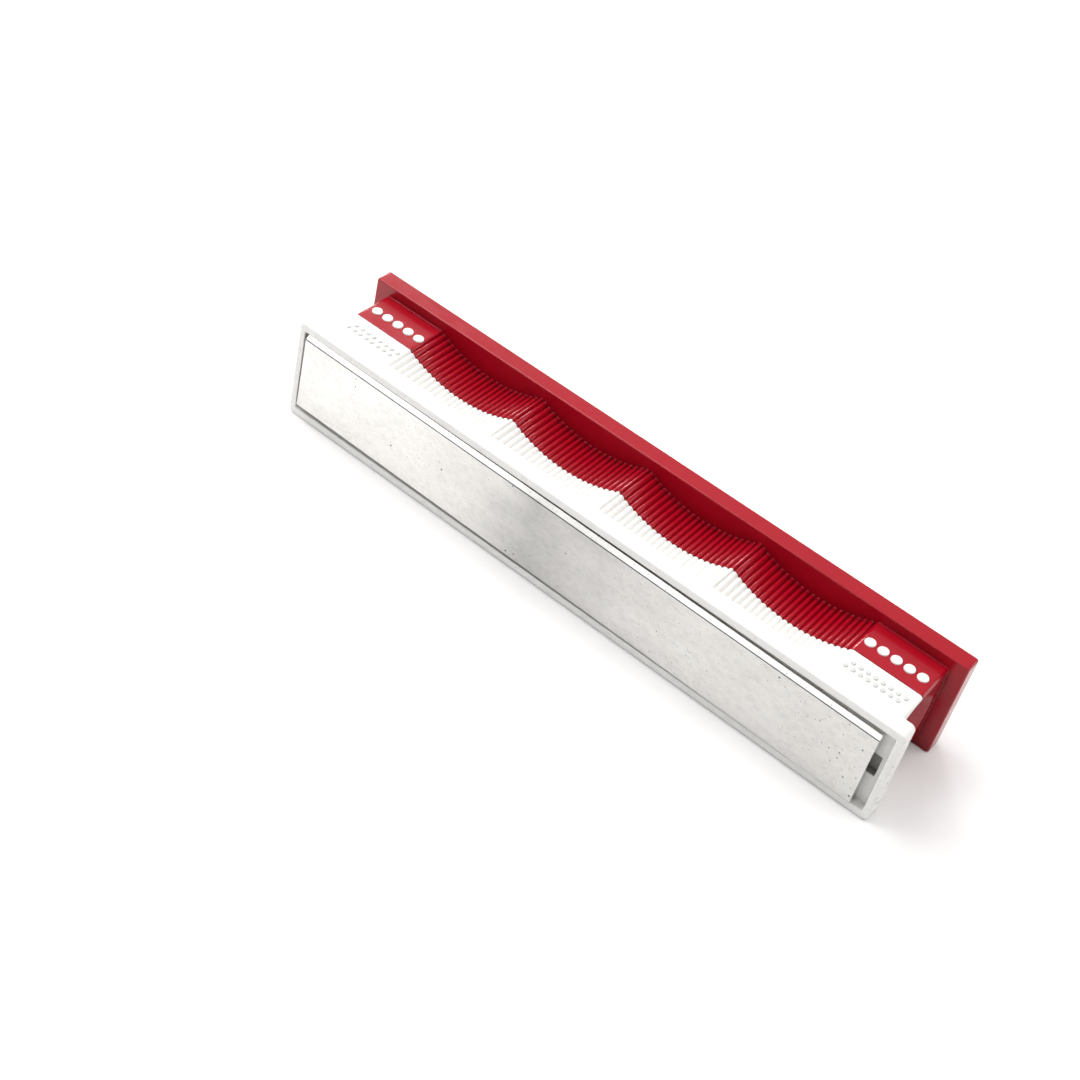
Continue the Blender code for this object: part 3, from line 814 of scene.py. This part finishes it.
def printed(name, base, worn, under, amount):
    """Ink or foil on the raised marks, thin in places; amount is how far `under` shows."""
    nodes = MaterialNodes(name)
    grain = nodes.noise(scale=2600, detail=4.0, roughness=0.65)
    color = nodes.mix(nodes.span(grain, over=(0.35, 0.65)), base, worn)
    patches = nodes.span(nodes.noise(scale=1500, roughness=0.7), over=(0.45, 0.6))
    thin = nodes.times(nodes.edges(radius=0.12 * MM), patches)
    color = nodes.mix(nodes.times(thin, amount), color, under)
    rough = nodes.span(grain, over=(0.3, 0.7), to=(0.42, 0.6))
    normal = nodes.bump(grain, distance=0.008 * MM, strength=0.5)
    return nodes.set(Base_Color=color, Roughness=rough, Normal=normal)


def floor_material():
    """Paper sweep: matt, and glowing towards white away from the object."""
    nodes = MaterialNodes("studio_floor")
    grain = nodes.span(nodes.noise(scale=60, detail=4.0, roughness=0.6), over=(0.3, 0.7))
    color = nodes.mix(grain, (0.91, 0.90, 0.895, 1.0), (0.93, 0.925, 0.92, 1.0))
    far = nodes.new("ShaderNodeVectorMath", operation="LENGTH")
    nodes.link(nodes.place, far.inputs[0])
    glow = nodes.span(far.outputs["Value"], over=(0.08, 0.24), to=(0.0, 0.36))
    glow = nodes.times(glow, nodes.new("ShaderNodeLightPath").outputs["Is Camera Ray"])
    return nodes.set(
        Base_Color=color, Roughness=0.8, Specular_IOR_Level=0.15,
        Emission_Color=(1.0, 0.99, 0.985, 1.0), Emission_Strength=glow,
    )


# Of each plastic's tones below, the last two are painted shade: near corners (partly settled
# dirt), and in hollows, deep corners and slots
red = plastic(
    "red_moulding",
    base=(0.39, 0.0008, 0.012, 1.0),
    darker=(0.355, 0.0006, 0.010, 1.0),
    worn=(0.56, 0.05, 0.09, 1.0),
    shade_and_dust_tone=(0.17, 0.002, 0.006, 1.0),
    painted_shade_tone=(0.035, 0.0006, 0.002, 1.0),
    roughness=0.19, cloud_stretch=28, edge_wear=0.30, shade=0.62,
)
white = plastic(
    "white_moulding",
    base=rgb(243, 242, 239),
    darker=rgb(239, 238, 234),
    worn=rgb(249, 249, 247),
    shade_and_dust_tone=rgb(160, 156, 148),
    painted_shade_tone=rgb(84, 80, 70),
    roughness=0.28, cloud_stretch=35, edge_wear=0.05, shade=0.0, subsurface=0.15,
)
fine_steel = brushed_steel(
    "fine_plate_steel", light=rgb(250, 248, 245), dark=rgb(238, 236, 233),
    seed=1.0, pits=0.9, roughness=0.22,
)
coarse_steel = brushed_steel(
    "coarse_plate_steel", light=rgb(246, 245, 242), dark=rgb(228, 227, 224),
    seed=4.0, pits=1.0, roughness=0.26,
)
nickel = plated(
    "magnet_nickel", light=rgb(196, 192, 184), dark=rgb(168, 164, 156), roughness=0.24
)
zinc = plated("screw_zinc", light=rgb(196, 198, 200), dark=rgb(164, 166, 168), roughness=0.34)
white_ink = printed(
    "white_marks", base=rgb(246, 246, 244), worn=rgb(238, 237, 235),
    under=rgb(190, 60, 80), amount=0.4,
)
grey_ink = printed(
    "grey_marks", base=rgb(212, 215, 212), worn=rgb(200, 203, 200),
    under=rgb(236, 235, 231), amount=0.5,
)

# ---------------------------------------------------------------- the object


def wear_material(obj, material):
    obj.data.materials.clear()
    obj.data.materials.append(material)


def place_piece(piece, material, body, node=None):
    """Give a piece its material and moving body, and hide the frame node it replaces."""
    wear_material(piece, material)
    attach(piece, body)
    if node:
        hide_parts(node)


coarse_half = moulding("coarse_moulding", side=1)
fine_half = moulding("fine_moulding", side=-1)
place_piece(coarse_half, red, "grip", node="coarse_grip_half")
place_piece(fine_half, white, "grip", node="fine_grip_half")

fine_length, fine_skew = fine_plate_pose()
fine_plate = plate_mesh("fine_steel_plate", -1, "fine_plate", fine_length, fine_skew)
coarse_plate = plate_mesh("coarse_steel_plate", 1, "coarse_plate", PLATE_LENGTH)
place_piece(fine_plate, fine_steel, "fine_plate", node="fine_plate")
place_piece(coarse_plate, coarse_steel, "coarse_plate", node="coarse_plate")

# At each end: one row of five large marks on +Y, two staggered rows of eight small ones on -Y
for end, word in ((-1, "left"), (1, "right")):
    places = [(end * MARK_X + (i - 2) * 2.75 * MM, MARK_Y) for i in range(5)]
    marks = mark_mesh(f"coarse_marks_{word}", places, radius=1.12 * MM)
    place_piece(marks, white_ink, "grip")
    places = [
        (end * MARK_X + (i - 3.5 + row / 2) * 1.55 * MM, -MARK_Y + row * 1.5 * MM)
        for row in (-0.5, 0.5)
        for i in range(8)
    ]
    marks = mark_mesh(f"fine_marks_{word}", places, radius=0.49 * MM)
    place_piece(marks, grey_ink, "grip")

for names, material in ((MAGNETS, nickel), (SCREWS, zinc)):
    for name in names:
        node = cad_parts[name]
        if node.material_slots:
            for slot in node.material_slots:
                slot.material = material
        else:
            node.data.materials.append(material)

# ---------------------------------------------------------------- studio

sheet = bmesh.new()
bmesh.ops.create_grid(sheet, x_segments=8, y_segments=8, size=0.9)
floor = mesh_object("floor", sheet)
floor.location = (0.0, 0.0, -0.00002)
wear_material(floor, floor_material())

world = bpy.data.worlds.new("studio")
bpy.context.scene.world = world
world.use_nodes = True
sky = Nodes(world.node_tree)
direction = sky.split(sky.new("ShaderNodeTexCoord").outputs["Generated"])


def sky_ramp(axis, over, stops):
    """Colour by a direction's component; stops run from 0 to 1 over this range of it."""
    return sky.ramp(sky.span(direction[axis], over=over), stops)


# In front (-Y) the walls are dark low down and bright above; behind (+Y) they are bright low
# down and dimmer above.
in_front = sky_ramp(
    "Z",
    over=(0.0, 1.0),
    stops=(
        (0.0, (0.05, 0.065, 0.09)),
        (0.34, (0.08, 0.10, 0.13)),
        (0.50, 0.50),
        (0.66, (0.85, 0.845, 0.84)),
        (1.0, (0.62, 0.61, 0.60)),
    ),
)
behind = sky_ramp(
    "Z",
    over=(0.0, 1.0),
    stops=(
        (0.0, (0.70, 0.69, 0.68)),
        (0.25, (0.85, 0.84, 0.83)),
        (0.60, (0.80, 0.79, 0.78)),
        (0.78, (0.62, 0.61, 0.60)),
        (1.0, (0.62, 0.61, 0.60)),
    ),
)
walls = sky.mix(sky.span(direction["Y"], over=(-0.25, 0.20)), in_front, behind)
by_side = sky_ramp(
    "X",
    over=(-1.0, 1.0),
    stops=((0.0, 1.0), (0.275, 0.95), (0.41, 0.70), (0.55, 0.48), (1.0, 0.52)),
)
room = world.node_tree.nodes["Background"]
sky.link(sky.mix(1.0, walls, by_side, blend="MULTIPLY"), room.inputs["Color"])
room.inputs["Strength"].default_value = 1.15

# Seen directly, past the floor's edge, the room is as pale as the floor.
pale = sky.new("ShaderNodeBackground")
pale.inputs["Color"].default_value = (0.98, 0.975, 0.97, 1.0)
choice = sky.new("ShaderNodeMixShader")
sky.link(sky.new("ShaderNodeLightPath").outputs["Is Camera Ray"], choice.inputs[0])
sky.link(room.outputs[0], choice.inputs[1])
sky.link(pale.outputs[0], choice.inputs[2])
sky.link(choice.outputs[0], world.node_tree.nodes["World Output"].inputs["Surface"])


def softbox(name, place, size, power, target=(0, 0, 0)):
    data = bpy.data.lights.new(name, "AREA")
    data.shape = "RECTANGLE"
    data.size, data.size_y = size
    data.energy = power
    light = bpy.data.objects.new(name, data)
    bpy.context.scene.collection.objects.link(light)
    light.location = place
    aim = Vector(target) - Vector(place)
    light.rotation_euler = aim.to_track_quat("-Z", "Y").to_euler()


ABOVE_FLOOR = (0, 0, 0.01)
softbox("overhead", place=(-0.47, -0.09, 0.69), size=(0.55, 0.55), power=4.0)
softbox("fill_right", place=(0.34, 0.04, 0.97), size=(0.7, 0.7), power=3.7)
softbox("window", place=(-0.80, 0.86, 0.47), size=(0.26, 0.26), power=3.4)
softbox(
    "back_right", place=(0.77, 0.68, 0.30), size=(0.5, 0.35), power=1.4, target=ABOVE_FLOOR
)
softbox("front", place=(-0.26, -0.62, 0.76), size=(1.0, 0.40), power=1.3, target=ABOVE_FLOOR)

# The camera looks down on the tool from -Y and +X, over the fine side.
camera_data = bpy.data.cameras.new("camera")
camera = bpy.data.objects.new("camera", camera_data)
bpy.context.scene.collection.objects.link(camera)
forward = Vector((-0.3793, 0.6360, -0.6720)).normalized()
rough_up = Vector((-0.5298, 0.4462, 0.7213))
right = forward.cross(rough_up).normalized()
up = right.cross(forward).normalized()
axes = Matrix((right, up, -forward)).transposed().to_4x4()
camera.matrix_world = Matrix.Translation((0.1161, -0.24279, 0.25773)) @ axes
camera_data.sensor_width = 36.0
camera_data.lens = 64.173333
camera_data.shift_x = 0.05046296
camera_data.shift_y = -0.05101852
camera_data.clip_start = 0.01
camera_data.clip_end = 20.0
bpy.context.scene.camera = camera

view = bpy.context.scene.view_settings
view.view_transform = "Standard"
view.look = "None"
view.exposure = 0.0
view.gamma = 1.0
